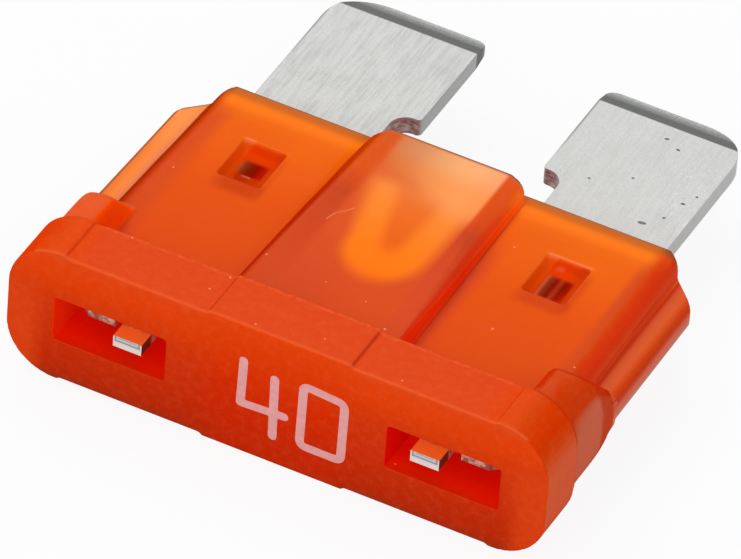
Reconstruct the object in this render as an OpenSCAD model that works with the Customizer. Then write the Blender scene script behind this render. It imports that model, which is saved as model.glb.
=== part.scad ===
// Automotive blade fuse of the regular size: a moulded translucent housing that is open at the bottom,
// and one metal stamping in it that forms both blades, the fusible link and the two probe tabs.
// It is drawn lying on its back: X is the width, Y runs from the cap to the blade tips, Z is the thickness.

/* [Blades] */
// Width of one blade
blade_w = 5.15; // [4.8:0.05:5.6]
// Thickness of the stamped metal
blade_t = 0.65; // [0.5:0.05:0.8]
// Distance over the outer edges of both blades
blade_span = 14.65; // [14.2:0.05:15]
// Length of blade that stands out of the housing
blade_out = 7.15; // [6:0.05:9]
// Radius of the outer corner of a blade's tip
tip_outer_r = 1.7; // [0.5:0.05:2]
// Radius of the inner corner of a blade's tip
tip_corner_r = 0.4; // [0.1:0.05:0.8]
// Length of the coined bevel at a blade's tip
bevel_l = 0.9; // [0.5:0.05:1.4]
// Thickness left at the very tip
tip_t = 0.16; // [0.1:0.02:0.3]
// How much narrower the blade is in the housing, on its inner edge
neck_step = 0.8; // [0.4:0.1:1.1]
// Radius of the notch where the inner edge steps out
notch_r = 0.6; // [0.3:0.05:0.8]
// Distance of the notch's centre from the housing
notch_out = 1.72; // [1.2:0.02:2.4]
// Radius of the lip where the notch meets the blade's inner edge
lip_r = 0.15; // [0.05:0.01:0.25]

/* [Probe tabs] */
// Distance of a probe tab's middle from the middle of the fuse
tab_x = 5.2; // [5:0.05:5.5]
// Width of a probe tab
tab_w = 1.0; // [0.7:0.05:1.2]
// Thickness of a probe tab, which is coined down from its front
tab_t = 0.42; // [0.3:0.02:0.64]
// How far a tab's end lies behind the end face of the cap
tab_recess = 0.06; // [0:0.02:0.4]
// Distance of the outer shoulder from the end face
shoulder_y = 0.9; // [0.7:0.05:1.3]
// Width of the slit between the tab and the outer shoulder
slit_w = 0.35; // [0.2:0.05:0.5]
// Depth of the slit, from the shoulder
slit_l = 0.8; // [0.4:0.1:1.2]
// Chamfer on the shoulder's outer corner
shoulder_chamfer = 0.3; // [0.1:0.05:0.5]
// Distance of the metal's inner shoulder from the end face
inner_shoulder_y = 3.1; // [2.8:0.1:3.6]

/* [Fusible link] */
// Width of the link's strip
link_w = 1.1; // [0.6:0.05:1.4]
// Thickness of the link, milled from both sides
link_t = 0.35; // [0.2:0.05:0.6]
// Radius of the bend, to the middle of the strip
link_r = 0.95; // [0.8:0.05:1.1]
// Distance of the bend's centre from the end face
link_y = 7.6; // [7:0.1:8.2]
// How far each arm of the link leans outwards, in degrees
link_lean = 16; // [5:1:22]
// Length of each leaning arm
link_arm_l = 2.2; // [1.6:0.1:2.6]

/* [Cap] */
// Width over the cap
cap_w = 18.85; // [18.4:0.05:19.3]
// Thickness over the cap's centre panel
cap_t = 5.08; // [4.8:0.02:5.4]
// Height of the cap
cap_h = 2.1; // [1.9:0.05:2.3]
// Corner radius of the cap, seen from its end
cap_corner_r = 1.75; // [1.2:0.05:2]
// Width of the raised centre panel
centre_w = 4.95; // [4:0.05:6]
// How far the flat panels beside it are sunk
panel_drop = 0.1; // [0.04:0.01:0.2]
// Width of the round lobe at each end
lobe_w = 1.9; // [1.8:0.05:2.1]
// How far the lobes are sunk
lobe_drop = 0.03; // [0.01:0.01:0.08]

/* [Test windows] */
// Width of a window
window_w = 3.93; // [3.6:0.05:4.1]
// Height of a window
window_h = 1.68; // [1.4:0.02:1.9]
// Distance of a window's middle from the middle of the fuse
window_x = 5.83; // [5.6:0.05:6]
// How far the windows lie below the middle of the thickness
window_drop = 0.13; // [0:0.01:0.3]
// Depth of a window
window_l = 2.2; // [1.8:0.05:2.6]

/* [Body] */
// Length of the body below the cap
body_l = 9.65; // [9.2:0.05:10.2]
// Width of the body at the cap, without its wings
body_w = 17.05; // [16.9:0.05:17.5]
// How far each side leans inwards, in degrees
side_taper = 1.1; // [0.3:0.1:1.5]
// Thickness over the two flat pads
pad_t = 2.24; // [2.1:0.02:2.6]
// Radius of the body's long edges
side_r = 0.8; // [0.5:0.05:0.95]
// Radius of the pad's corners, seen from the front
pad_corner_r = 0.7; // [0.3:0.05:0.9]
// Radius of the edges at the open end
end_r = 0.12; // [0.06:0.02:0.4]

/* [Wings] */
// Thickness of the wing along each side
wing_t = 1.0; // [0.7:0.05:1.2]
// Radius of its long edges
wing_edge_r = 0.3; // [0.15:0.05:0.34]
// How far a wing stands out of the body at the cap
wing_reach = 0.8; // [0.6:0.02:0.87]
// Distance of a wing's end from the open end, at the body
wing_gap = 0.5; // [0.2:0.05:0.8]
// Length of the chamfer that ends a wing
wing_chamfer = 1.1; // [0.5:0.05:1.4]

/* [Ears] */
// Distance of an ear's inner side from the middle
ear_x = 7.45; // [7.3:0.05:7.7]
// Draft of that side, in degrees
ear_draft = 8; // [3:1:12]
// Length of an ear's top beyond the cap
ear_l = 1.25; // [1:0.05:2]
// Slope of an ear's end, in degrees
ear_slope = 46; // [35:1:60]
// How far an ear lies inside the cap's outline
ear_inset = 0.16; // [0.1:0.02:0.3]
// Radius of an ear's outer corner, seen from the front
ear_corner_r = 0.85; // [0.4:0.05:1]
// Radius of its inner corner
ear_inner_r = 0.3; // [0.1:0.05:0.5]

/* [Centre bulge] */
// Width of the bulge at the cap, at its foot
bulge_w = 5.85; // [5.6:0.05:6.2]
// Width of the bulge at the open end, at its foot
bulge_end_w = 5.45; // [5.2:0.05:5.8]
// Thickness over both bulges at the cap
bulge_t = 3.54; // [3.4:0.02:3.8]
// Thickness over both bulges at the open end
bulge_end_t = 3.5; // [3.2:0.02:3.54]
// Draft of the bulge's sides, in degrees
bulge_draft = 14; // [5:1:25]
// Radius of the bulge's corners, seen from the front
bulge_corner_r = 0.5; // [0.2:0.05:0.8]
// Width of the shoulder bevel at the open end, from nothing at the cap
bevel_end_w = 0.5; // [0.2:0.05:0.8]
// Slope of the shoulder bevel, in degrees
bevel_slope = 30; // [15:1:40]

/* [Chamber] */
// Width of the chamber round the link
chamber_w = 4.3; // [4.2:0.05:4.6]
// Wall of the chamber, under the bulge
chamber_wall = 0.6; // [0.45:0.05:0.7]
// Distance of the chamber's end from the cap
chamber_gap = 2.6; // [1.8:0.1:3.2]
// Clearance of the metal in its slots
clearance = 0.04; // [0.02:0.01:0.08]

/* [Stakes] */
// Distance of a stake's middle from the middle of the fuse
stake_x = 5.37; // [5.2:0.01:5.5]
// Distance of a stake's middle from the open end of the housing
stake_up = 3.2; // [2.6:0.1:3.6]
// Width of the square pocket at the pad's face
pocket_w = 1.55; // [1.4:0.05:1.8]
// Length of the pocket at the pad's face
pocket_l = 1.95; // [1.7:0.05:2.2]
// Depth of the pocket
pocket_depth = 0.36; // [0.2:0.02:0.5]
// How much each wall of the pocket and of the punch mark leans in over its depth
pocket_lean = 0.16; // [0.05:0.01:0.2]
// Width of the stake that fills the metal's hole
stake_w = 1.2; // [1:0.05:1.35]
// Length of the stake
stake_l = 1.45; // [1.2:0.05:1.6]
// Wall of the stake round the punch mark
stake_wall = 0.14; // [0.1:0.02:0.2]
// Plastic left between the punch marks of both faces
stake_web = 0.5; // [0.3:0.05:0.7]

/* [Hidden] */
$fn = 64;

plastic_colour = [0.92, 0.30, 0.06];
metal_colour = [0.78, 0.79, 0.80];
past = 1;                                           // how far a cutter reaches past what it cuts

body_end = cap_h + body_l;                          // the housing's open end
total_l = body_end + blade_out;
blade_x = blade_span / 2;                           // a blade's outer edge
blade_in_x = blade_x - blade_w;                     // its inner edge outside the housing
neck_x = blade_in_x + neck_step;                    // its inner edge inside the housing
stake_y = body_end - stake_up;
side_end_w = body_w - 2 * body_l * tan(side_taper); // the body's width at its open end
wing_x = body_w / 2 + wing_reach;                   // a wing's outer edge at the cap
wing_taper = side_taper / 3;                        // a wing leans less than the side it stands on
slot_t = blade_t + 2 * clearance;
notch_x = neck_x - notch_r;                         // the notch's centre
notch_y = body_end + notch_out;
lip_x = blade_in_x + lip_r;                         // the lip touches the notch and the inner edge
lip_y = notch_y + sqrt(pow(notch_r + lip_r, 2) - pow(lip_x - notch_x, 2));
lip_share = notch_r / (notch_r + lip_r);
bulge_top_w = bulge_w - (bulge_t - pad_t) * tan(bulge_draft);
chamber_t = bulge_end_t - 2 * chamber_wall;
ear_top_end = cap_h + ear_l;
ear_foot_end = ear_top_end + (cap_t - wing_t) / 2 / tan(ear_slope);
ear_top_x = ear_x + (cap_t - pad_t) / 2 * tan(ear_draft);
ear_out = cap_w / 2 - ear_inset;
punch_w = stake_w - 2 * stake_wall;                 // the mark that the punch leaves in the stake
punch_l = stake_l - 2 * stake_wall;

// Stands the part on its back, with its middle over the origin
module placed() {
    translate([0, -total_l / 2, cap_t / 2]) children();
}

// Runs a section in X and Z along Y
module along_y(from, to) {
    translate([0, to, 0]) rotate([90, 0, 0]) linear_extrude(to - from) children();
}

// Runs a side profile in Y and Z right across X
module along_x(width) {
    rotate([90, 0, 90]) linear_extrude(width, center = true) children();
}

// Runs a plan right through the thickness
module along_z(height) {
    linear_extrude(height, center = true) children();
}

// Puts the same shape on the left and on the right
module both_sides() {
    children();
    mirror([1, 0, 0]) children();
}

// Puts the same shape on the front and on the back
module both_faces() {
    children();
    mirror([0, 0, 1]) children();
}

module round_rect(w, h, r) {
    square([w - 2 * r, h], center = true);
    square([w, h - 2 * r], center = true);
    for (x = [-1, 1], y = [-1, 1]) translate([x * (w / 2 - r), y * (h / 2 - r)]) circle(r);
}

// A tapering bar along X with round corners at its far end, as seen from above
module round_ended(from, to, start_w, end_w, r) {
    polygon([[from, -start_w / 2], [to - r, -end_w / 2], [to - r, end_w / 2], [from, start_w / 2]]);
    translate([to - r, -end_w / 2 + r]) square([r, end_w - 2 * r]);
    for (y = [-1, 1]) translate([to - r, y * (end_w / 2 - r)]) circle(r);
}

// The same bar along Y
module round_ended_plan(from, to, start_w, end_w, r) {
    rotate(90) round_ended(from, to, start_w, end_w, r);
}

// A square pit that narrows downwards, with its mouth at the given height
module pit(w, l, mouth_z, depth, lean) {
    intersection() {
        rotate([90, 0, 0]) linear_extrude(l + past, center = true) pit_section(w, mouth_z, depth, lean);
        along_x(w + past) pit_section(l, mouth_z, depth, lean);
    }
}

module pit_section(w, mouth_z, depth, lean) {
    rise = lean * past / depth;                     // the walls run on past the mouth
    polygon([
        [-w / 2 + lean, mouth_z - depth], [w / 2 - lean, mouth_z - depth],
        [w / 2 + rise, mouth_z + past], [-w / 2 - rise, mouth_z + past]
    ]);
}

// The cap, seen from its end: flat panels between two lobes and a raised centre
module cap_outline() {
    round_rect(cap_w, cap_t - 2 * panel_drop, cap_corner_r);
    lobe_outline(cap_w / 2 - lobe_w, 0);
    square([centre_w, cap_t], center = true);
}

module lobe_outline(from_x, inset) {
    intersection() {
        round_rect(cap_w - 2 * inset, cap_t - 2 * lobe_drop - 2 * inset, cap_corner_r);
        for (x = [-1, 1]) translate([x * (from_x + cap_w / 2), 0]) square([cap_w, cap_t], center = true);
    }
}

module cap() {
    along_y(0, cap_h) cap_outline();
}

// One tapering half of the flat body, with round long edges
module body_half() {
    reach = body_w / 2;
    translate([reach, cap_h, 0]) rotate([0, 0, side_taper]) translate([-reach, -cap_h, 0])
        along_y(cap_h / 2, body_end + past) intersection() {
            round_rect(body_w, pad_t, side_r);
            translate([0, -pad_t / 2]) square([reach, pad_t]);
        }
}

module body() {
    intersection() {
        both_sides() body_half();
        along_x(body_w) round_ended(0, body_end, pad_t, pad_t, end_r);
        along_z(pad_t) round_ended_plan(0, body_end, body_w + past, side_end_w, pad_corner_r);
    }
}

// A thin flange with round edges along each side, ending in a chamfer
module wing() {
    end_y = body_end - wing_gap;
    intersection() {
        translate([wing_x, cap_h, 0]) rotate([0, 0, wing_taper]) translate([-wing_x, -cap_h, 0])
            along_y(cap_h / 2, body_end) intersection() {
                round_rect(2 * wing_x, wing_t, wing_edge_r);
                translate([ear_x, -wing_t / 2]) square([wing_x - ear_x, wing_t]);
            }
        along_z(wing_t) polygon([
            [0, 0], [cap_w / 2, 0], [cap_w / 2, end_y - wing_chamfer], [side_end_w / 2, end_y], [0, end_y]
        ]);
    }
}

// The lobes carried on past the cap, with a sloping end
module ear() {
    foot = wing_t / 2;
    top = cap_t / 2;
    intersection() {
        along_y(cap_h / 2, body_end) intersection() {
            lobe_outline(ear_x, ear_inset);
            both_sides() polygon([
                [ear_x, -pad_t / 2], [ear_x, pad_t / 2], [ear_top_x, top],
                [cap_w / 2, top], [cap_w / 2, -top], [ear_top_x, -top]
            ]);
        }
        along_x(cap_w) polygon([
            [0, -top], [ear_top_end, -top], [ear_foot_end, -foot],
            [ear_foot_end, foot], [ear_top_end, top], [0, top]
        ]);
        along_z(cap_t) both_sides() ear_plan();
    }
}

module ear_plan() {
    polygon([
        [ear_x, 0], [ear_out, 0], [ear_out, ear_foot_end - ear_corner_r],
        [ear_out - ear_corner_r, ear_foot_end], [ear_x + ear_inner_r, ear_foot_end],
        [ear_x, ear_foot_end - ear_inner_r]
    ]);
    translate([ear_out - ear_corner_r, ear_foot_end - ear_corner_r]) circle(ear_corner_r);
    translate([ear_x + ear_inner_r, ear_foot_end - ear_inner_r]) circle(ear_inner_r);
}

// The raised centre of both faces, over the link's chamber
module bulge() {
    foot = bulge_w / 2;
    top = bulge_top_w / 2;
    difference() {
        intersection() {
            along_y(cap_h / 2, body_end) polygon([
                [foot, -pad_t / 2], [foot, pad_t / 2], [top, bulge_t / 2], [-top, bulge_t / 2],
                [-foot, pad_t / 2], [-foot, -pad_t / 2], [-top, -bulge_t / 2], [top, -bulge_t / 2]
            ]);
            along_x(bulge_w) round_ended(0, body_end, bulge_t, bulge_end_t, end_r);
            along_z(bulge_t) round_ended_plan(0, body_end, bulge_w, bulge_end_w, bulge_corner_r);
        }
        both_faces() both_sides() shoulder_bevel();
    }
}

// The bevel along the bulge's upper edge, which widens towards the open end
module shoulder_bevel() {
    yaw = atan((bevel_end_w + (bulge_w - bulge_end_w) / 2) / body_l);
    pitch = atan((bulge_t - bulge_end_t) / 2 / body_l);
    translate([bulge_top_w / 2, cap_h, bulge_t / 2]) rotate([-pitch, bevel_slope, yaw])
        translate([0, -past, 0]) cube([bulge_w, body_l + 3 * past, bulge_t]);
}

module window_cut() {
    translate([window_x - window_w / 2, -past, -window_drop - window_h / 2])
        cube([window_w, window_l + past, window_h]);
}

// The slot for one blade, less the stake that holds the metal in it
module blade_slot() {
    difference() {
        union() {
            translate([neck_x - clearance, inner_shoulder_y - clearance, -slot_t / 2])
                cube([blade_x - neck_x + 2 * clearance, body_end + past - inner_shoulder_y, slot_t]);
            translate([tab_x - tab_w / 2 - clearance, shoulder_y, -slot_t / 2])
                cube([blade_x - tab_x + tab_w / 2 + 2 * clearance, inner_shoulder_y - shoulder_y, slot_t]);
        }
        stake_block(0);
    }
}

module stake_block(gap) {
    translate([stake_x, stake_y, 0])
        cube([stake_w + 2 * gap, stake_l + 2 * gap, pad_t], center = true);
}

module stake_pocket() {
    translate([stake_x, stake_y, 0]) {
        pit(pocket_w, pocket_l, pad_t / 2, pocket_depth, pocket_lean);
        pit(punch_w, punch_l, pad_t / 2, pad_t / 2 - stake_web / 2, pocket_lean);
    }
}

// The room round the link, open between the blades
module chamber() {
    from = cap_h + chamber_gap;
    translate([-chamber_w / 2, from, -chamber_t / 2]) cube([chamber_w, body_end + past - from, chamber_t]);
    translate([-neck_x - past / 2, from, -slot_t / 2]) cube([2 * neck_x + past, body_end + past - from, slot_t]);
}

module housing() {
    color(plastic_colour) placed() difference() {
        union() {
            cap();
            body();
            both_sides() wing();
            ear();
            bulge();
        }
        both_sides() window_cut();
        both_sides() blade_slot();
        both_faces() both_sides() stake_pocket();
        chamber();
    }
}

// One blade with its shoulder and probe tab, as it is blanked
module blade_outline() {
    tab_in = tab_x - tab_w / 2;
    tab_out = tab_x + tab_w / 2;
    tip_in = blade_in_x + tip_corner_r;
    difference() {
        union() {
            polygon([
                [tab_in, tab_recess], [tab_out, tab_recess], [tab_out, shoulder_y + slit_l],
                [tab_out + slit_w, shoulder_y + slit_l], [tab_out + slit_w, shoulder_y],
                [blade_x - shoulder_chamfer, shoulder_y], [blade_x, shoulder_y + shoulder_chamfer],
                [blade_x, total_l - tip_outer_r], [blade_x - tip_outer_r, total_l],
                [tip_in, total_l], [blade_in_x, total_l - tip_corner_r], [blade_in_x, lip_y],
                [notch_x + (lip_x - notch_x) * lip_share, notch_y + (lip_y - notch_y) * lip_share],
                [neck_x, notch_y], [neck_x, inner_shoulder_y], [tab_in, inner_shoulder_y]
            ]);
            translate([tip_in, total_l - tip_corner_r]) circle(tip_corner_r);
            translate([blade_x - tip_outer_r, total_l - tip_outer_r]) circle(tip_outer_r);
            translate([lip_x, lip_y]) circle(lip_r);
        }
        translate([notch_x, notch_y]) circle(notch_r);
        translate([stake_x, stake_y])
            square([stake_w + 2 * clearance, stake_l + 2 * clearance], center = true);
    }
}

// The link: a bend towards the cap, and two arms that lean out to the blades
module link_outline() {
    difference() {
        circle(link_r + link_w / 2);
        circle(link_r - link_w / 2);
        translate([-2 * link_r, 0]) square([4 * link_r, 2 * link_r]);
    }
    for (side = [-1, 1]) translate([side * link_r, 0]) rotate(-side * link_lean) {
        translate([-link_w / 2, -link_w / 8]) square([link_w, link_arm_l + link_w / 8]);
        translate([0, link_arm_l]) circle(link_w / 2);
    }
    bar_x = link_r + link_arm_l * sin(link_lean);
    bar_y = link_arm_l * cos(link_lean);
    for (side = [-1, 1]) translate([side * (bar_x + neck_x) / 2, bar_y])
        square([neck_x - bar_x + 2 * clearance, link_w], center = true);
}

// The coined bevel on one face of both tips
module tip_bevel() {
    along_x(blade_span + past) polygon([
        [total_l - bevel_l, blade_t / 2], [total_l + past, tip_t / 2 - (blade_t - tip_t) / 2 * past / bevel_l],
        [total_l + past, blade_t], [total_l - bevel_l, blade_t]
    ]);
}

module fuse_element() {
    color(metal_colour) placed() difference() {
        union() {
            both_sides() along_z(blade_t) blade_outline();
            translate([0, link_y, 0]) along_z(link_t) link_outline();
        }
        both_faces() tip_bevel();
        both_sides() translate([tab_x, 0, blade_t / 2 + past])
            cube([2 * tab_w, 2 * shoulder_y, 2 * (past + blade_t - tab_t)], center = true);
    }
}

housing();
fuse_element();
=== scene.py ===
import math

import bmesh
import bpy
from mathutils import Matrix, Vector


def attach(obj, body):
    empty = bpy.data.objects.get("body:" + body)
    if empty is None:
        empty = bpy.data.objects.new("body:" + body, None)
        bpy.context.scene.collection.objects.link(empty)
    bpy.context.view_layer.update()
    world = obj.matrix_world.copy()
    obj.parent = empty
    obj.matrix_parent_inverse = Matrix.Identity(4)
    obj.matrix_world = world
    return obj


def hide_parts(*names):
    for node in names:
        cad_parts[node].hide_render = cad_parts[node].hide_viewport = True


mm = 0.001
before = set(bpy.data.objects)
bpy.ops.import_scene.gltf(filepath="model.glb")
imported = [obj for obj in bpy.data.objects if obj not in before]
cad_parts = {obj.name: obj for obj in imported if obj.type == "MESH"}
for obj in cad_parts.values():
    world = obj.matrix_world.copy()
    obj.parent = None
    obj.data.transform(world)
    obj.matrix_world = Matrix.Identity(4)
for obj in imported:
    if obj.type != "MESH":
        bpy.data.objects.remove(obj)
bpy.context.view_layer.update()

# Measures of the fuse in mm: y counts from the cap's end face, z from the middle of the thickness
fuseLength = 18.9
fuseHeight = 5.08
bodyEnd = 11.75
leanStart = 3.0
padTop = 1.12


class Wire:  # one output of a node, so that a mask is written as a plain sum
    def __init__(self, nodes, socket):
        self.nodes = nodes
        self.socket = socket

    def math(self, operation, *others):
        inputs = dict(enumerate((self,) + others))
        return self.nodes.add("Math", {"operation": operation}, inputs)

    def __add__(self, other):
        return self.math("ADD", other)

    def __sub__(self, other):
        return self.math("SUBTRACT", other)

    def __mul__(self, other):
        return self.math("MULTIPLY", other)

    def __truediv__(self, other):
        return self.math("DIVIDE", other)

    def __pow__(self, other):
        return self.math("POWER", other)

    def __radd__(self, other):
        return self.math("ADD", other)

    def __rmul__(self, other):
        return self.math("MULTIPLY", other)

    def __rsub__(self, other):
        return self.nodes.add("Math", {"operation": "SUBTRACT"}, {0: other, 1: self})

    def __abs__(self):
        return self.math("ABSOLUTE")

    def least(self, other):
        return self.math("MINIMUM", other)

    def most(self, other):
        return self.math("MAXIMUM", other)

    def up(self, start, end):  # 0 below start, 1 above end, smooth between them
        inputs = {"Value": self, "From Min": start, "From Max": end, "To Min": 0.0, "To Max": 1.0}
        return self.nodes.add("MapRange", {"interpolation_type": "SMOOTHSTEP"}, inputs)

    def down(self, start, end):
        return 1 - self.up(start, end)

    def band(self, low, high, soft):  # 1 between low and high
        return self.up(low - soft, low + soft) * self.down(high - soft, high + soft)

    def line(self, middle, width):  # a soft line, 1 at its middle
        return abs(self - middle).down(0.0, width)

    def ramp(self, *stops):  # stops are (position, colour)
        first, last = stops[0][0], stops[-1][0]
        share = self.nodes.add("MapRange", inputs={"Value": self, "From Min": first, "From Max": last})
        node = self.nodes.add("ValToRGB", inputs={"Fac": share}).socket.node
        bar = node.color_ramp.elements
        while len(bar) < len(stops):
            bar.new(0.5)
        for element, (position, value) in zip(bar, stops):
            element.position = (position - first) / (last - first)
            element.color = self.nodes.colour(value)
        return Wire(self.nodes, node.outputs["Color"])


class Nodes:  # the nodes of a material or of the world
    def __init__(self, tree, sheen=0.0):
        self.tree = tree
        self.sheen = sheen  # the share of white that the gloss adds, taken off every colour
        tree.nodes.clear()

    def add(self, kind, settings=None, inputs=None, output=0):
        node = self.tree.nodes.new("ShaderNode" + kind)
        for key, value in (settings or {}).items():
            setattr(node, key, value)
        for key, value in (inputs or {}).items():
            if isinstance(value, Wire):
                self.tree.links.new(value.socket, node.inputs[key])
            else:
                node.inputs[key].default_value = value
        return Wire(self, node.outputs[output]) if output is not None else node

    def colour(self, value):  # a colour as it shows in a picture, 0 to 255, made linear
        if isinstance(value, Wire):
            return value
        scaled = [c / 255 for c in value]
        linear = [c / 12.92 if c < 0.04045 else ((c + 0.055) / 1.055) ** 2.4 for c in scaled]
        return (*(max(c - self.sheen, 0.0) for c in linear), 1.0)

    def seenDirectly(self):  # 1 for rays of the camera, of a reflection or through glass
        path = self.add("LightPath", output="Is Camera Ray")
        outputs = path.socket.node.outputs
        mirrored = Wire(self, outputs["Is Glossy Ray"])
        return path.most(mirrored).most(Wire(self, outputs["Is Transmission Ray"]))


class Look(Nodes):  # one material with a Principled shader
    def __init__(self, name, base, sheen=0.0, **shader):
        self.material = bpy.data.materials.new(name)
        self.material.use_nodes = True
        super().__init__(self.material.node_tree, sheen)
        inputs = {key.replace("_", " "): value for key, value in shader.items()}
        self.surface = self.add("BsdfPrincipled", inputs={"Base Color": self.colour(base), **inputs})
        self.shader = self.surface.socket.node
        self.end = self.add("OutputMaterial", inputs={"Surface": self.surface}, output=None)

    def feed(self, socketName, wire):
        self.tree.links.new(wire.socket, self.shader.inputs[socketName])

    def parts(self, vector):
        split = self.add("SeparateXYZ", inputs={0: vector}).socket.node
        return [Wire(self, split.outputs[i]) for i in range(3)]

    def place(self):  # the point in mm, and its x, y and z
        spot = self.add("TexCoord", output="Object")
        inputs = {0: spot, 1: (1 / mm,) * 3, 2: (0, fuseLength / 2, -fuseHeight / 2)}
        spot = self.add("VectorMath", {"operation": "MULTIPLY_ADD"}, inputs)
        return spot, *self.parts(spot)

    def facing(self):
        return self.parts(self.add("NewGeometry", output="Normal"))

    def noise(self, spot, scale, detail=2.0, rough=0.5, stretch=(1, 1, 1)):
        spot = self.add("VectorMath", {"operation": "MULTIPLY"}, {0: spot, 1: stretch})
        inputs = {"Vector": spot, "Scale": scale, "Detail": detail, "Roughness": rough}
        return self.add("TexNoise", inputs=inputs)

    def tint(self, mask, below, above):
        settings = {"data_type": "RGBA", "clamp_factor": True}
        inputs = {0: mask, 6: self.colour(below), 7: self.colour(above)}
        return self.add("Mix", settings, inputs, output=2)

    def bump(self, height, distance, strength=1.0):
        inputs = {"Height": height, "Distance": distance, "Strength": strength}
        return self.add("Bump", inputs=inputs)


def newPiece(name, mesh, look):
    piece = bpy.data.objects.new(name, mesh)
    bpy.context.scene.collection.objects.link(piece)
    mesh.materials.clear()
    mesh.materials.append(look.material)
    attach(piece, "root")
    return piece


def meshOf(work, name):
    bmesh.ops.recalc_face_normals(work, faces=work.faces)
    mesh = bpy.data.meshes.new(name)
    work.to_mesh(mesh)
    work.free()
    return mesh


def solidCopy(nodeName):  # a merged copy of a CAD node's mesh
    work = bmesh.new()
    work.from_mesh(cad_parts[nodeName].data)
    bmesh.ops.remove_doubles(work, verts=work.verts, dist=0.002 * mm)
    return meshOf(work, nodeName + "Copy")


def modify(piece, kind, **settings):
    modifier = piece.modifiers.new(kind.title(), kind)
    for key, value in settings.items():
        setattr(modifier, key, value)


def applyModifiers(piece):
    view = bpy.context.evaluated_depsgraph_get()
    made = bpy.data.meshes.new_from_object(piece.evaluated_get(view))
    piece.modifiers.clear()
    piece.data = made


def inPlace(x, y, z):  # from mm on the fuse to the frame's metres
    return Vector((x, y - fuseLength / 2, z + fuseHeight / 2)) * mm


def onFuse(point):  # from the frame's metres to mm on the fuse
    return point.x / mm, point.y / mm + fuseLength / 2, point.z / mm - fuseHeight / 2


housing = {
    "voxel": 0.058,
    "smoothing": 2,
    "capBack": (2.06, 2.14),  # where the matte cap goes over into the glossy body
    "windowX": (3.8, 7.86),
    "windowZ": (-1.04, 0.78),
    "fillNear": {"y": 1.8, "inner": 8.0, "outer": 9.32, "height": 1.1},
    "fillFar": {"y": 5.1, "inner": 8.3, "outer": 9.28, "height": 0.5},
    "sideLean": 0.22,
    "bulgeLean": 0.17,
    "bulgeShift": 0.08,
    "bulgeWider": 0.1,
    "domeSmoothing": 160,
    "keptShare": 0.26,
    "roughness": 0.5,
    "coatWeight": 1.0,
    "coatBend": 1.12,
    "coatRoughness": 0.12,
    "sheen": 0.002,
    "grainSize": 9.0,
    "grainDepth": 0.008,
    "dust": (  # x, y and radius of the light specks on the front
        (3.55, 9.25, 0.05), (4.75, 5.4, 0.06), (7.75, 5.1, 0.05), (5.3, 3.4, 0.045), (-2.6, 4.2, 0.05),
        (1.1, 3.8, 0.04), (-0.4, 4.0, 0.035), (2.2, 2.95, 0.06), (-7.4, 7.1, 0.05), (-3.0, 1.1, 0.05),
        (1.2, 0.75, 0.04), (-0.95, 0.25, 0.05), (4.1, 0.35, 0.045), (-2.7, 1.9, 0.05), (-6.2, 2.0, 0.05),
    ),
    "fibre": ((-1.81, 6.69), (-1.7, 7.1), (-1.48, 7.35), (-1.28, 7.64)),
}
pocket = {
    "x": (4.58, 6.17),
    "y": (7.5, 9.57),
    "edge": 0.035,
    "slantX": 0.489,
    "slantY": 1.073,
    "ownLight": 0.4,
    "kept": 0.62,
}
linkGlow = {
    "x": 0.5,
    "y": 6.5,
    "width": 1.52,
    "leftSpread": 0.2,
    "rightSpread": 0.04,
    "drop": 1.95,
    "stripStart": 6.2,
    "stripLean": 0.09,
    "stripSpread": 0.17,
}


def padColour(look, x, y):
    # The pads are painted brighter towards the body's end, painted light that comes through the plastic;
    # the far edge turns brown
    along = y.ramp(
        (2.0, (228, 80, 24)), (4.2, (227, 80, 18)), (6.0, (228, 83, 15)), (7.0, (230, 84, 12)),
        (8.0, (234, 89, 14)), (9.0, (237, 95, 17)), (10.2, (238, 99, 15)), (10.6, (242, 106, 18)),
        (10.85, (251, 117, 22)), (11.05, (255, 124, 25)), (11.2, (244, 118, 28)),
        (11.35, (218, 106, 28)), (11.5, (202, 102, 38)), (11.66, (190, 106, 52)),
    )
    # Painted reflection: a pale pink sheen near the rounded edges and beside the bulge
    pinkReflection = x.line(-7.5, 0.75) * 0.9 + x.line(7.6, 0.4) + x.line(3.1, 0.5) * y.down(7.5, 10.0)
    along = look.tint(pinkReflection * y.down(9.9, 11.0), along, (217, 75, 29))
    vivid = x.line(-4.0, 1.3) * y.line(10.1, 1.2) + x.line(6.0, 1.6) * y.line(9.6, 1.6)
    along = look.tint(vivid * 0.35, along, (248, 108, 5))
    # Painted shade: a dark line on the pad along the left foot of the bulge
    footShade = (x - (y - leanStart) * 0.0425).band(-3.19, -2.9, 0.05)
    along = look.tint(footShade * y.down(10.0, 11.3), along, (202, 56, 10))
    # Painted highlight along the far top edge of each pocket's mouth
    mouthHighlight = y.band(9.53, 9.63, 0.03) * (x.band(4.6, 6.2, 0.08) + x.band(-6.15, -5.75, 0.08))
    return look.tint(mouthHighlight * 0.7, along, (248, 124, 70))


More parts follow.
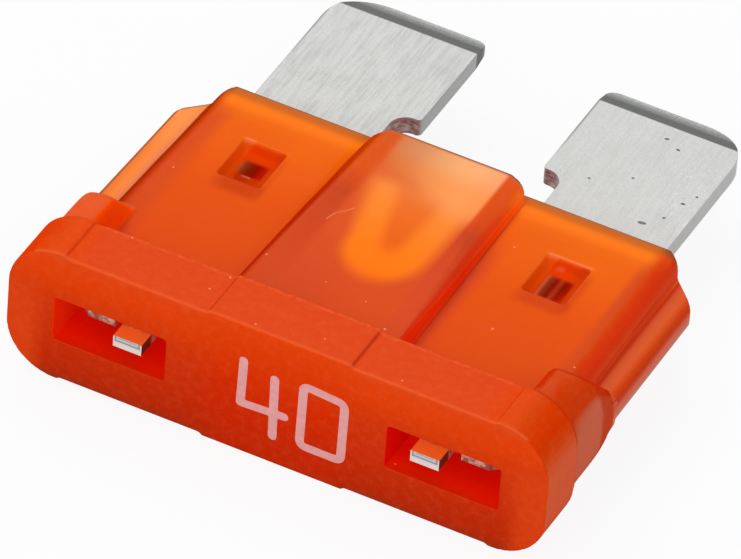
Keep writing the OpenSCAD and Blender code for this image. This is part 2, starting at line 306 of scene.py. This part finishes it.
def bulgeColour(look, x, y):
    # The hidden link glows through as a U: a rounded bottom, arms that spread, a darker strip inside
    rise = (y - linkGlow["y"]).most(0.0)
    leftHalf = x.down(-0.3, 0.6)
    width = linkGlow["width"] + rise * (linkGlow["rightSpread"] + leftHalf * linkGlow["leftSpread"])
    across = (x - linkGlow["x"]) / width
    down = (y - linkGlow["y"]).least(0.0) / linkGlow["drop"]
    glow = ((across * across + down * down) ** 0.5).down(0.68, 1.1)
    glow = glow * (1 - leftHalf * y.up(9.0, 10.0))
    fromMiddle = abs(x - linkGlow["x"] + (y - linkGlow["y"]) * linkGlow["stripLean"])
    halfStrip = (y - linkGlow["stripStart"]).most(0.0) * linkGlow["stripSpread"]
    strip = (fromMiddle - halfStrip).down(-0.04, 0.6) * y.up(5.6, 6.6)
    lit = y.ramp(
        (4.6, (246, 108, 20)), (5.4, (255, 121, 16)), (6.4, (255, 125, 20)), (7.4, (255, 130, 34)),
        (8.5, (254, 137, 50)), (9.3, (250, 140, 64)),
    )
    hollow = y.ramp(
        (6.0, (250, 112, 20)), (6.9, (237, 100, 22)), (7.8, (240, 107, 30)), (8.7, (240, 114, 42)),
        (9.4, (238, 122, 56)),
    )
    base = look.tint(y.up(3.2, 8.6), (216, 75, 34), (222, 86, 36))
    base = look.tint(x.up(-1.0, 1.0) * y.down(4.0, 5.5), base, (221, 78, 30))
    base = look.tint(glow, base, look.tint(strip, lit, hollow))
    # Painted light that shows through from the open end: pale peach towards the far end
    backlitPeach = x.ramp(
        (-1.75, (222, 92, 34)), (-1.4, (227, 110, 52)), (-0.8, (230, 124, 62)), (-0.1, (240, 142, 78)),
        (0.6, (249, 153, 84)), (1.3, (253, 156, 88)), (2.05, (253, 150, 82)),
    )
    farBacklitPeach = x.ramp(
        (-1.75, (222, 112, 60)), (-1.35, (217, 130, 82)), (-0.7, (221, 144, 98)),
        (-0.1, (236, 160, 104)), (0.6, (249, 174, 116)), (1.3, (252, 174, 118)), (2.05, (250, 164, 112)),
    )
    backlitPeach = look.tint(y.up(10.0, 11.3), backlitPeach, farBacklitPeach)
    start = (y + x.up(-0.6, 1.8) * 0.7).up(8.9, 10.3)
    base = look.tint(start * x.up(-1.8, -1.5), base, backlitPeach)
    leftBand = y.ramp(
        (3.0, (214, 75, 35)), (6.0, (209, 71, 31)), (8.2, (200, 69, 28)), (8.9, (212, 75, 24)),
        (9.6, (222, 84, 22)), (11.6, (216, 88, 28)),
    )
    base = look.tint(x.down(-1.9, -1.5), base, leftBand)
    rightBand = y.ramp(
        (3.0, (219, 76, 36)), (7.0, (213, 73, 34)), (8.3, (204, 69, 32)), (9.2, (226, 78, 24)),
        (11.6, (236, 88, 28)),
    )
    base = look.tint(x.up(2.03, 2.2), base, rightBand)
    # Painted shade: a thin dark red line along the bulge's left edge
    bulgeEdgeShade = (x - (y - leanStart) * 0.043).down(-2.84, -2.64)
    base = look.tint(bulgeEdgeShade, base, y.ramp((3.0, (180, 34, 1)), (8.5, (184, 38, 2)), (11.0, (196, 58, 8))))
    return look.tint(y.up(11.52, 11.64), base, (196, 112, 74))


def wallColour(y):  # the bulge's right flank, which lights up red and then orange
    return y.ramp(
        (2.5, (222, 46, 0)), (5.0, (222, 48, 1)), (7.0, (214, 46, 2)), (8.5, (218, 54, 1)),
        (9.6, (228, 62, 0)), (10.3, (234, 76, 2)), (11.2, (246, 104, 14)), (11.6, (226, 96, 22)),
    )


def pocketColour(look, base, x, y, height):  # base with the staked pockets painted in, and their mask
    left = x.down(-0.1, 0.1)
    # Painted shade round the pockets, below them and beside them
    shadeAround = x.band(-6.0, -4.5, 0.3) * y.band(6.95, 7.7, 0.22)
    shadeAround = shadeAround + x.band(-4.55, -4.42, 0.15) * y.band(7.2, 9.2, 0.4) * 0.6
    shadeAround = shadeAround + x.band(4.6, 6.2, 0.3) * y.band(7.0, 7.7, 0.24)
    shadeAround = shadeAround + x.band(6.1, 6.35, 0.2) * y.band(7.2, 9.2, 0.4)
    base = look.tint(shadeAround * 0.9, base, look.tint(left, (212, 68, 14), (206, 63, 12)))
    mouth = abs(x).band(*pocket["x"], pocket["edge"]) * y.band(*pocket["y"], pocket["edge"])
    inside = mouth * height.down(1.06, padTop) * height.up(0.1, 0.2)
    # The marks are laid on at the slant at which the photograph looks into the pockets
    depth = padTop - height
    x, y = x + depth * pocket["slantX"], y - depth * pocket["slantY"]
    # Inside, painted light on the far and left walls and painted shade towards the near lip
    fill = y.ramp(
        (7.3, (206, 62, 12)), (8.0, (207, 60, 12)), (8.7, (222, 60, 8)), (9.3, (230, 60, 6)),
        (9.5, (238, 84, 24)),
    )
    wall = x.down(-5.8, -5.66) + x.band(4.4, 5.0, 0.06)
    litWallFill = y.ramp(
        (7.4, (214, 66, 10)), (8.6, (226, 74, 8)), (9.3, (232, 84, 16)), (9.5, (246, 112, 58)),
    )
    fill = look.tint(wall, fill, litWallFill)
    shade = x.band(-4.78, -4.4, 0.14) + x.band(5.8, 6.4, 0.2)
    fill = look.tint(shade * 0.8, fill, (206, 62, 14))
    leftPunch = x.band(-5.66, -4.72, 0.06) * y.band(7.92, 8.6, 0.08)
    leftBrown = x.ramp(
        (-5.66, (188, 78, 38)), (-5.45, (156, 58, 26)), (-5.3, (150, 36, 16)), (-5.1, (158, 20, 4)),
        (-4.9, (194, 30, 4)), (-4.72, (206, 48, 12)),
    )
    rightPunch = x.band(5.1, 6.02, 0.05) * y.band(7.55, 8.62, 0.1)
    rightBrown = x.ramp(
        (5.1, (196, 98, 62)), (5.25, (164, 64, 36)), (5.45, (152, 30, 10)), (5.6, (194, 66, 34)),
        (5.75, (156, 28, 6)), (5.9, (178, 30, 4)), (6.02, (196, 48, 12)),
    )
    fill = look.tint(leftPunch, fill, leftBrown)
    fill = look.tint(rightPunch, fill, rightBrown)
    glint = x.band(-5.4, -5.1, 0.05) * y.line(7.87, 0.06)
    glint = glint + x.band(5.15, 5.4, 0.12) * y.band(8.95, 9.2, 0.12) * 0.35
    return look.tint(inside, base, look.tint(glint, fill, (236, 120, 76))), inside


def housingLook():
    look = Look("orangePlastic", (235, 80, 15), sheen=housing["sheen"], Roughness=housing["roughness"],
                Specular_IOR_Level=0.0, Coat_IOR=housing["coatBend"],
                Coat_Roughness=housing["coatRoughness"], Emission_Strength=1.0)
    spot, x, y, z = look.place()
    faceX, faceY, faceZ = look.facing()
    side, height = abs(x), abs(z)
    right = x.up(-0.1, 0.1)
    outward = faceX * (right * 2 - 1)  # how far a face looks away from the middle

    cap = y.down(*housing["capBack"])
    base = padColour(look, x, y)

    # Long rounded edges of the body: painted shade on the left, red with a painted highlight line on the
    # right
    rounding = side.up(7.35, 7.9) * height.up(0.46, 0.56)
    leftSide = outward.ramp(
        (0.0, (218, 76, 26)), (0.22, (212, 70, 25)), (0.4, (203, 62, 18)), (0.52, (190, 54, 12)),
        (0.66, (166, 44, 12)), (0.85, (152, 46, 16)), (1.0, (156, 52, 22)),
    )
    rightSide = outward.ramp(
        (0.0, (216, 78, 26)), (0.12, (213, 70, 21)), (0.25, (217, 62, 8)), (0.45, (222, 54, 0)),
        (0.7, (222, 50, 0)), (0.82, (224, 62, 6)), (0.88, (228, 72, 20)), (0.93, (214, 56, 4)),
        (1.0, (206, 50, 2)),
    )
    sideColour = look.tint(right, leftSide, rightSide)
    farSide = look.tint(right, (212, 84, 30), (222, 72, 14))
    sideColour = look.tint(y.up(10.4, 11.5) * outward.down(0.5, 0.7), sideColour, farSide)
    sideColour = look.tint(y.up(11.3, 11.6), sideColour, (150, 76, 38))
    base = look.tint(rounding, base, sideColour)

    # Wings: painted highlights on the left, and on the right painted bands of light and shade from a dark
    # root
    spread = side + (y - leanStart).most(0.0) * 0.025 * (1 - right)
    wing = height.down(0.5, 0.58) * spread.up(8.36, 8.46) * y.up(4.85, 5.05)
    leftWing = spread.ramp(
        (8.45, (236, 124, 80)), (8.6, (250, 140, 80)), (8.8, (254, 142, 62)), (8.95, (248, 130, 56)),
        (9.08, (236, 122, 58)), (9.2, (196, 100, 52)),
    )
    rightWing = side.ramp(
        (8.4, (184, 42, 3)), (8.5, (192, 52, 18)), (8.58, (208, 75, 39)), (8.7, (211, 88, 45)),
        (8.9, (219, 90, 41)), (9.0, (215, 81, 30)), (9.12, (208, 67, 14)), (9.24, (209, 57, 4)),
    )
    leftWing = look.tint(y.up(7.5, 10.5) * side.down(9.0, 9.1) * 0.7, leftWing, (255, 156, 84))
    wingSide = z.ramp(
        (-0.5, (190, 104, 66)), (-0.3, (192, 104, 62)), (-0.12, (213, 92, 46)), (0.05, (217, 77, 28)),
        (0.2, (217, 70, 22)), (0.4, (211, 60, 8)),
    )
    rightWing = look.tint(outward.up(0.8, 0.97), rightWing, wingSide)
    leftWing = look.tint(outward.up(0.2, 0.6), leftWing, (178, 90, 48))
    wingColour = look.tint(right, leftWing, rightWing)
    farEdge = (19.33 - side - y).down(0.02, 0.13) * side.up(8.1, 8.2)
    wingColour = look.tint(farEdge * (1 - right), wingColour, (176, 104, 64))
    wingColour = look.tint(faceY.up(0.3, 0.8), wingColour, (222, 98, 44))
    base = look.tint(wing, base, wingColour)

    # Lobes that run on from the cap
    raised = height.up(1.13, 1.2)
    ear = side.up(7.2, 7.3) * raised.most(side.up(7.5, 7.6) * height.up(0.6, 0.7)) * y.down(4.9, 5.0)
    ear = ear * raised.most(outward.up(-0.5, -0.3).least(side.up(8.3, 8.45)))
    ear = ear.most(side.up(8.9, 9.05) * y.down(4.75, 5.0))
    # Painted light and shade on the lobes: the left lobe painted lighter, the right one darker, with a band
    # of painted shade where the right lobe meets the body
    earTop = look.tint(right, (231, 90, 44), (216, 76, 33))
    earColour = look.tint(outward.up(0.3, 0.5) * right, earTop, (214, 62, 16))
    earOuter = look.tint(right, (196, 94, 60), (212, 106, 78))
    earColour = look.tint(outward.up(0.85, 0.95), earColour, earOuter)
    inner = (outward * -1).up(0.25, 0.5)
    earEnd = faceY.up(0.3, 0.6)
    earWall = look.tint(right, (236, 74, 8), (197, 42, 2))
    earColour = look.tint(inner.most(earEnd * right), earColour, earWall)
    rightBand = side.down(7.8, 7.95).most(y.up(3.95, 4.2) * 0.7) * right
    earColour = look.tint(rightBand * y.up(2.2, 2.5), earColour, (203, 46, 4))
    base = look.tint(ear, base, earColour)

    onBulge = side.down(3.1, 3.14) * height.up(1.16, 1.2)
    base = look.tint(onBulge, base, bulgeColour(look, x, y))
    flank = (x + y.up(3.5, 9.5) * 0.16).up(2.7, 2.84) * side.down(3.1, 3.16)
    flank = flank * height.up(1.1, 1.14) * faceX.up(0.2, 0.4)
    base = look.tint(flank, base, wallColour(y))
    rim = y.up(11.6, 11.68) * (1 - cap) * (1 - wing)
    base = look.tint(rim, base, look.tint(faceY.up(0.7, 0.95), (150, 82, 46), (228, 92, 26)))
    painted, inPocket = pocketColour(look, base, x, y, height)
    inPocket = inPocket * (1 - cap)
    base = look.tint(1 - cap, base, painted)
    pocketLight = base
    base = look.tint(inPocket * (1 - pocket["kept"]), base, (0, 0, 0))

    # The cap: matte panels, painted light and shade on the rounded lobes, an end face with painted shade
    # that darkens downwards, deep red windows painted darker deeper in
    panel = look.tint(side.up(6.6, 7.6), (223, 74, 33), (226, 72, 23))
    # Painted light and shade round the rounded lobes
    lobe = outward.ramp(
        (0.0, (226, 74, 25)), (0.1, (226, 76, 27)), (0.3, (220, 71, 21)), (0.5, (223, 62, 9)),
        (0.75, (222, 57, 2)), (0.86, (223, 68, 12)), (0.95, (226, 88, 46)), (1.0, (226, 98, 62)),
    )
    panel = look.tint(side.up(7.4, 7.7), panel, lobe)
    seam = side.line(2.49, 0.07) * 0.8 + side.line(7.5, 0.07) * 0.45
    panel = look.tint(seam * height.up(2.2, 2.3), panel, (198, 46, 12))
    # Painted highlights along the cap's rear top edge and its front top edge
    rearHighlight = y.band(1.93, 2.12, 0.03) * height.up(2.3, 2.38) * side.down(7.2, 7.5)
    panel = look.tint(rearHighlight * look.noise(spot, 5.0, detail=4.0).up(0.3, 0.7) * 0.8, panel, (238, 92, 48))
    panel = look.tint(y.down(0.08, 0.2) * height.up(2.2, 2.3), panel, (230, 86, 42))
    # Painted shade: the end face darkens towards the bottom
    end = z.ramp(
        (-2.54, (170, 60, 38)), (-2.35, (176, 50, 24)), (-2.1, (192, 46, 15)), (-1.2, (200, 48, 15)),
        (-0.5, (206, 52, 17)), (0.4, (211, 56, 18)), (1.0, (218, 60, 15)), (1.5, (226, 65, 15)),
        (2.1, (230, 68, 19)), (2.5, (224, 74, 28)),
    )
    middle = z.ramp(
        (-2.5, (200, 46, 14)), (-1.4, (206, 44, 12)), (0.0, (214, 46, 10)), (1.2, (222, 58, 12)),
        (2.4, (230, 68, 16)),
    )
    end = look.tint(side.down(1.6, 3.4), end, middle)
    end = look.tint(side.up(7.9, 8.8) * z.down(0.5, 1.8), end, (220, 67, 22))
    panel = look.tint(faceY.down(-0.8, -0.5), panel, end)
    inWindow = y.up(0.02, 0.07) * side.band(*housing["windowX"], 0.02) * z.band(*housing["windowZ"], 0.02)
    # Painted shade deeper inside the windows, and their walls painted lit on the left and shaded on the
    # right
    windowColour = look.tint(y.up(0.1, 1.4), (206, 34, 6), (196, 8, 0))
    wallMask = faceX.up(0.6, 0.9)
    windowWall = look.tint(right, (232, 44, 4), (214, 16, 2))
    windowColour = look.tint(wallMask, windowColour, windowWall)
    windowColour = look.tint(y.down(0.1, 0.3) * z.down(-1.0, -0.9), windowColour, (196, 38, 10))
    panel = look.tint(inWindow, panel, windowColour)
    base = look.tint(cap, base, panel)

    # Dust and a fibre on the front
    onTop = faceZ.up(0.5, 0.8)
    for dustX, dustY, radius in housing["dust"]:
        dx, dy = x - dustX, y - dustY
        speck = (dx * dx + dy * dy).down(0.0, radius ** 2)
        base = look.tint(speck * onTop * 0.6, base, (255, 176, 132))
    fibre = housing["fibre"]
    for (ax, ay), (bx, by) in zip(fibre, fibre[1:]):
        slope = (bx - ax) / (by - ay)
        hair = (x - ax - (y - ay) * slope).line(0.0, 0.05) * y.band(ay, by, 0.02) * onTop
        base = look.tint(hair * 0.45, base, (246, 150, 110))
    mottle = look.noise(spot, 3.2, detail=4.0, rough=0.65)
    matte = cap.most(ear)
    cloudy = mottle.up(0.4, 0.75) * (0.03 + matte * 0.05 * (1 - inWindow))
    base = look.tint(cloudy, base, (255, 130, 80))
    look.feed("Base Color", base)

    # Light that has come through the plastic, where no lamp reaches
    dark = (0, 0, 0)
    wallGlow = look.tint(right, (104, 16, 2), (120, 8, 0))
    glow = look.tint(inWindow * cap, dark, look.tint(wallMask, (146, 14, 2), wallGlow))
    glow = look.tint(inWindow * cap * y.down(0.0, 0.5) * (1 - wallMask) * 0.5, glow, (90, 12, 2))
    glow = look.tint(ear * inner * (1 - cap), glow, look.tint(right, (120, 28, 3), (40, 4, 0)))
    glow = look.tint(flank * faceX.up(0.55, 0.95), glow, y.ramp((7.0, (124, 20, 0)), (10.5, (140, 40, 0))))
    glow = look.tint(inPocket * pocket["ownLight"], glow, pocketLight)
    look.feed("Emission Color", glow)

    shadyEdge = outward.up(0.2, 0.4) * height.down(1.6, 1.9) * (1 - right)
    shadyEdge = shadyEdge.most(x.band(-3.1, -2.55, 0.05)).most(rim)
    look.feed("Coat Weight", (1 - matte) * (1 - shadyEdge.most(inPocket)) * housing["coatWeight"])
    grain = look.noise(spot, housing["grainSize"], detail=3.0)
    look.feed("Normal", look.bump(grain * matte, housing["grainDepth"] * mm))
    return look


def share(value, whole):  # value as a part of whole, kept between 0 and 1
    return min(max(value / whole, 0.0), 1.0)


def domeWeight(x, y, z):  # 1 on the lobes beside the body, 0 elsewhere
    side, height = abs(x), abs(z)
    lowest = 1.13 if side < 8.45 else 0.72
    reach = min(side - 7.15, y - 2.0, 5.5 - y, height - lowest)
    return share(reach, 0.25)


def leanOf(x, y, z):  # how far a point of the moulding moves across, in mm
    along = share(y - leanStart, bodyEnd - leanStart)
    pastCap = share(y - 2.3, 0.6)
    onFace = share(abs(z) - 0.95, 0.1)
    leftSide = share(-7.2 - x, 0.6)
    bulgeLeft = share(-1.9 - x, 0.5) * share(x + 3.5, 0.4) * onFace
    bulgeRight = share(x - 1.9, 0.5) * share(3.5 - x, 0.4) * onFace
    leaning = along * (leftSide * housing["sideLean"] + bulgeLeft * housing["bulgeLean"])
    return leaning + pastCap * (bulgeRight * housing["bulgeShift"] - bulgeLeft * housing["bulgeWider"])


def fillBehindCap(piece):  # each side goes smoothly over from the cap to the wing
    work = bmesh.new()
    work.from_mesh(piece.data)
    for side in (-1, 1):
        made = bmesh.ops.create_cube(work, size=1.0)["verts"]
        for vertex in made:
            far, outer, upper = vertex.co.y > 0, vertex.co.x * side > 0, vertex.co.z > 0
            shape = housing["fillFar"] if far else housing["fillNear"]
            across = shape["outer"] if outer else shape["inner"]
            vertex.co = inPlace(side * across, shape["y"], shape["height"] * (1 if upper else -1))
    bmesh.ops.recalc_face_normals(work, faces=work.faces)
    work.to_mesh(piece.data)
    work.free()


def buildHousing():
    piece = newPiece("housingShell", solidCopy("housing"), housingLook())
    fillBehindCap(piece)
    modify(piece, "REMESH", mode="VOXEL", voxel_size=housing["voxel"] * mm)
    applyModifiers(piece)
    group = piece.vertex_groups.new(name="domes")
    for vertex in piece.data.vertices:
        vertex.co.x += leanOf(*onFuse(vertex.co)) * mm
        weight = domeWeight(*onFuse(vertex.co))
        if weight > 0:
            group.add([vertex.index], weight, "REPLACE")
    modify(piece, "SMOOTH", factor=0.5, iterations=housing["domeSmoothing"], vertex_group="domes")
    applyModifiers(piece)
    modify(piece, "SMOOTH", factor=0.5, iterations=housing["smoothing"])
    modify(piece, "DECIMATE", ratio=housing["keptShare"])
    applyModifiers(piece)
    piece.vertex_groups.clear()
    piece.data.shade_smooth()
    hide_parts("housing")
    print("housing:", len(piece.data.polygons), "faces")


element = {
    "edgeRound": 0.035,
    "flatArea": 0.06,
    "meshAngle": 1.0,  # in degrees, as is the next
    "edgeAngle": 12,
    "roughness": 0.5,
    "metallic": 0.5,
    "pits": (  # x, y on the right blade's front, length, width, turn in degrees
        (4.91, 17.38, 0.17, 0.10, 20), (5.45, 17.08, 0.15, 0.09, -15), (6.77, 14.78, 0.16, 0.10, 10),
        (6.56, 13.85, 0.13, 0.08, 40), (6.07, 13.27, 0.30, 0.14, 8), (3.66, 14.36, 0.10, 0.07, 0),
        (4.85, 15.09, 0.10, 0.07, 30), (7.0, 15.3, 0.11, 0.07, -20),
    ),
    "pitDepth": 0.06,
    "frontZ": 0.325,
    "grainDepth": 0.006,
    "bevelStart": (17.97, 18.03),
    "tab": {"x": 5.2, "z": 0.055, "halfWidth": 0.5, "halfHeight": 0.21},
}


def elementLook():
    look = Look("stampedMetal", (185, 185, 184), Metallic=element["metallic"],
                Roughness=element["roughness"], Emission_Strength=1.0)
    spot, x, y, z = look.place()
    faceX, faceY, faceZ = look.facing()
    left = x.down(-0.1, 0.1)
    streaks = look.noise(spot, 2.4, detail=3.0, stretch=(3.5, 0.35, 1)).up(0.35, 0.7)
    cloud = look.noise(spot, 1.4, detail=4.0, rough=0.65).up(0.3, 0.7)
    fine = look.noise(spot, 14.0, detail=2.0).up(0.3, 0.75)
    front = look.tint(streaks * (0.3 + left * 0.7), (188, 188, 186), (168, 168, 166))
    front = look.tint(cloud * 0.5, front, (194, 194, 192))
    front = look.tint(fine * 0.35, front, (174, 174, 172))
    # Fine scratches on the right blade
    scratch = look.noise(spot, 3.0, detail=1.0, stretch=(1.2, 6.0, 1)).line(0.5, 0.012)
    worn = x.up(5.2, 6.4) * y.band(12.8, 16.8, 0.8) * look.noise(spot, 1.1).up(0.4, 0.6)
    front = look.tint(scratch * worn, front, (222, 222, 221))
    edge = abs(faceZ).down(0.4, 0.8)
    base = look.tint(edge, front, look.tint(left, (180, 180, 179), (168, 169, 168)))
    # Painted shade: a dark line along each blade's left edge
    leftEdgeShade = faceX.down(-0.75, -0.2).most(x.line(2.18, 0.1)).most(x.line(-7.32, 0.09)) * y.up(14.4, 16.5)
    base = look.tint(leftEdgeShade * 0.85, base, (112, 113, 112))
    # Painted shade inside the pits
    for pitX, pitY, length, width, turn in element["pits"]:
        turned = math.radians(turn)
        dx, dy = x - pitX, y - pitY
        alongPit = (dx * math.cos(turned) + dy * math.sin(turned)) / (length / 2)
        acrossPit = (dy * math.cos(turned) - dx * math.sin(turned)) / (width / 2)
        hole = (alongPit * alongPit + acrossPit * acrossPit).down(0.5, 1.2)
        base = look.tint(hole * 0.75, base, (70, 72, 71))
    # Painted reflection on the notch walls: pinkish grey with light streaks
    notch = edge * abs(x).down(2.95, 3.0) * y.band(13.2, 14.12, 0.06)
    notchReflection = look.noise(spot, 4.0, stretch=(1, 1, 3)).up(0.35, 0.7)
    notchColour = look.tint(notchReflection, (146, 100, 96), (196, 176, 174))
    base = look.tint(notch, base, notchColour)
    # Painted dark reflection on the tips' bevels, growing lighter towards the tips
    bevel = y.up(*element["bevelStart"])
    bevelColour = y.ramp(
        (18.0, (94, 95, 93)), (18.38, (92, 93, 91)), (18.48, (124, 126, 124)), (18.66, (150, 152, 150)),
        (18.82, (186, 188, 186)),
    )
    bevelColour = look.tint(fine * 0.4, bevelColour, (78, 80, 78))
    base = look.tint(bevel, base, bevelColour)
    # Painted reflection of the orange body on the metal next to it
    orangeReflection = y.band(11.6, 12.3, 0.25) * look.noise(spot, 2.0).up(0.4, 0.6)
    base = look.tint(orangeReflection * 0.25, base, (176, 140, 116))

    # Inside the windows: a bright tab with a dark rim line and painted shade on its sides, and painted
    # orange light on all else
    inside = y.down(2.1, 2.3)
    tab = element["tab"]
    rimDepth = tab["halfWidth"] - abs(abs(x) - tab["x"])
    rimDepth = rimDepth.least(tab["halfHeight"] - abs(z - tab["z"]))
    tabEnd = rimDepth.ramp(
        (0.0, (222, 212, 204)), (0.045, (206, 200, 196)), (0.085, (122, 116, 116)),
        (0.12, (176, 180, 184)), (0.17, (200, 206, 210)), (0.21, (140, 146, 150)),
    )
    towardsEnd = (faceY * -1).up(0.5, 0.8)
    tabSide = look.tint(faceZ.up(0.5, 0.8), (96, 52, 34), (214, 112, 52))
    base = look.tint(inside, base, look.tint(towardsEnd, tabSide, tabEnd))
    shoulder = look.tint(look.noise(spot, 5.0).up(0.4, 0.65), (140, 84, 66), (206, 182, 166))
    deep = inside * y.up(0.6, 0.8)
    base = look.tint(deep, base, shoulder)
    look.feed("Base Color", base)
    sideGlow = look.tint(faceZ.up(0.5, 0.8), (20, 6, 2), (160, 66, 14))
    glow = look.tint(inside * (1 - towardsEnd), (0, 0, 0), sideGlow)
    glow = look.tint(deep, glow, (70, 30, 20))
    look.feed("Emission Color", glow)
    look.feed("Normal", look.bump(streaks + fine * 0.5, element["grainDepth"] * mm, 0.7))
    return look


def pitCutter():
    work = bmesh.new()
    for x, y, length, width, turn in element["pits"]:
        shape = Matrix.Translation(inPlace(x, y, element["frontZ"]))
        shape = shape @ Matrix.Rotation(math.radians(turn), 4, "Z")
        shape = shape @ Matrix.Diagonal((length / 2 * mm, width / 2 * mm, element["pitDepth"] * mm, 1))
        bmesh.ops.create_icosphere(work, subdivisions=2, radius=1.0, matrix=shape)
    cutter = bpy.data.objects.new("pitCutter", meshOf(work, "pits"))
    bpy.context.scene.collection.objects.link(cutter)
    return cutter


def buildElement():
    piece = newPiece("fuseMetal", solidCopy("fuse_element"), elementLook())
    modify(piece, "DECIMATE", decimate_type="DISSOLVE", angle_limit=math.radians(element["meshAngle"]))
    modify(piece, "BEVEL", width=element["edgeRound"] * mm, segments=2, limit_method="ANGLE",
           angle_limit=math.radians(element["edgeAngle"]))
    cutter = pitCutter()
    modify(piece, "BOOLEAN", operation="DIFFERENCE", solver="EXACT", object=cutter)
    applyModifiers(piece)
    bpy.data.objects.remove(cutter)
    for face in piece.data.polygons:  # the rounded edges and pits are shaded smooth, the stamped faces flat
        small = face.area < element["flatArea"] * mm * mm
        face.use_smooth = small and abs(face.normal.z) < 0.999
    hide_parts("fuse_element")
    print("element:", len(piece.data.polygons), "faces")


numerals = {
    "stroke": 0.31,
    "proud": 0.006,
    "voxel": 0.022,
    "four": (((-1.14, 1.14), (-1.17, -0.56), (0.36, -0.48)), ((-0.04, 0.86), (0.0, -1.42))),
    "zero": ((0.96, 1.06), (2.40, 0.94), (2.38, -1.37), (0.94, -1.36)),
    "corner": 0.24,
}


def roundedLoop(corners, radius, steps=6):  # a closed path through rounded corners, in x and z
    points = []
    for i, corner in enumerate(corners):
        before, here, after = (Vector(corners[(i + k) % len(corners)]) for k in (-1, 0, 1))
        start = here + (before - here).normalized() * radius
        end = here + (after - here).normalized() * radius
        for k in range(steps + 1):
            t = k / steps
            points.append(start.lerp(here, t).lerp(here.lerp(end, t), t))
    return points + points[:1]


def buildNumerals():
    work = bmesh.new()
    radius = numerals["stroke"] / 2
    paths = [[Vector(p) for p in path] for path in numerals["four"]]
    paths.append(roundedLoop(numerals["zero"], numerals["corner"]))
    for path in paths:
        for point in path:
            bmesh.ops.create_uvsphere(work, u_segments=16, v_segments=8, radius=radius,
                                      matrix=Matrix.Translation((point.x, 0, point.y)))
        for start, end in zip(path, path[1:]):
            run = Vector((end.x - start.x, 0, end.y - start.y))
            middle = (start + end) / 2
            turn = run.to_track_quat("Z", "Y").to_matrix().to_4x4()
            place = Matrix.Translation((middle.x, 0, middle.y)) @ turn
            bmesh.ops.create_cone(work, segments=16, radius1=radius, radius2=radius, depth=run.length,
                                  cap_ends=True, matrix=place)
    look = Look("paleInk", (226, 160, 158), Roughness=0.55, Specular_IOR_Level=0.1)
    spot = look.place()[0]
    cloud = look.noise(spot, 4.0, detail=3.0)
    look.feed("Base Color", look.tint(cloud.up(0.3, 0.7), (223, 156, 155), (229, 165, 162)))
    piece = newPiece("numerals", meshOf(work, "numerals"), look)
    modify(piece, "REMESH", mode="VOXEL", voxel_size=numerals["voxel"])
    applyModifiers(piece)
    thin = Matrix.Diagonal((mm, numerals["proud"] / radius * mm, mm, 1))
    piece.data.transform(Matrix.Translation(inPlace(0, 0, 0)) @ thin)
    piece.data.shade_smooth()
    print("numerals:", len(piece.data.polygons), "faces")


camera = {
    "target": (-0.134, 6.711, 0.0),
    "azimuth": 24.503,
    "elevation": 40.297,
    "roll": 4.503,
    "distance": 412.46,
    "focalPixels": 13195.87,
    "pictureWidth": 741,
    "sensor": 36.0,
}


def setCamera():
    around, above, tilt = (math.radians(camera[k]) for k in ("azimuth", "elevation", "roll"))
    level = math.cos(above)
    back = Vector((math.sin(around) * level, -math.cos(around) * level, math.sin(above)))
    right = Vector((math.cos(around), math.sin(around), 0))
    up = back.cross(right)
    right, up = right * math.cos(tilt) + up * math.sin(tilt), up * math.cos(tilt) - right * math.sin(tilt)
    data = bpy.data.cameras.new("camera")
    data.sensor_width = camera["sensor"]
    data.lens = camera["focalPixels"] * camera["sensor"] / camera["pictureWidth"]
    data.clip_start, data.clip_end = 0.01, 20.0
    holder = bpy.data.objects.new("camera", data)
    bpy.context.scene.collection.objects.link(holder)
    place = Matrix((right, up, back)).transposed().to_4x4()
    place.translation = inPlace(*camera["target"]) + back * camera["distance"] * mm
    holder.matrix_world = place
    bpy.context.scene.camera = holder


studio = {
    "floorSize": 3.0,
    "floorColour": (238, 238, 239),
    "floorGlow": 0.9,
    "worldStrength": 0.49,
    "lamps": {  # place, size, power
        "key": ((-0.16, 0.10, 0.34), 0.26, 0.75),
        "fill": ((0.26, -0.20, 0.22), 0.24, 0.24),
        "front": ((-0.04, -0.34, 0.14), 0.24, 0.315),
    },
}


def addLamp(name, spot, size, power):
    data = bpy.data.lights.new(name, "AREA")
    data.shape = "SQUARE"
    data.size = size
    data.energy = power
    lamp = bpy.data.objects.new(name, data)
    bpy.context.scene.collection.objects.link(lamp)
    lamp.location = spot
    lamp.rotation_euler = Vector(spot).to_track_quat("Z", "Y").to_euler()


def buildStudio():
    work = bmesh.new()
    bmesh.ops.create_grid(work, x_segments=1, y_segments=1, size=studio["floorSize"] / 2)
    floor = bpy.data.objects.new("floor", meshOf(work, "floor"))
    bpy.context.scene.collection.objects.link(floor)
    look = Look("paleFloor", studio["floorColour"], Roughness=1.0, Specular_IOR_Level=0.0)
    white = look.add("Emission", inputs={"Color": look.colour((255, 255, 255))})
    shown = look.seenDirectly() * studio["floorGlow"]
    mixed = look.add("MixShader", inputs={0: shown, 1: look.surface, 2: white})
    look.tree.links.new(mixed.socket, look.end.inputs["Surface"])
    floor.data.materials.append(look.material)

    world = bpy.data.worlds.new("studio")
    bpy.context.scene.world = world
    world.use_nodes = True
    sky = Nodes(world.node_tree)
    strength = sky.seenDirectly() * (1 - studio["worldStrength"]) + studio["worldStrength"]
    light = sky.add("Background", inputs={"Color": sky.colour((255, 255, 255)), "Strength": strength})
    sky.add("OutputWorld", inputs={"Surface": light}, output=None)
    for name, settings in studio["lamps"].items():
        addLamp(name, *settings)
    bpy.context.scene.view_settings.view_transform = "Standard"
    print("studio: floor, world and", len(studio["lamps"]), "lamps")


buildHousing()
buildElement()
buildNumerals()
setCamera()
buildStudio()
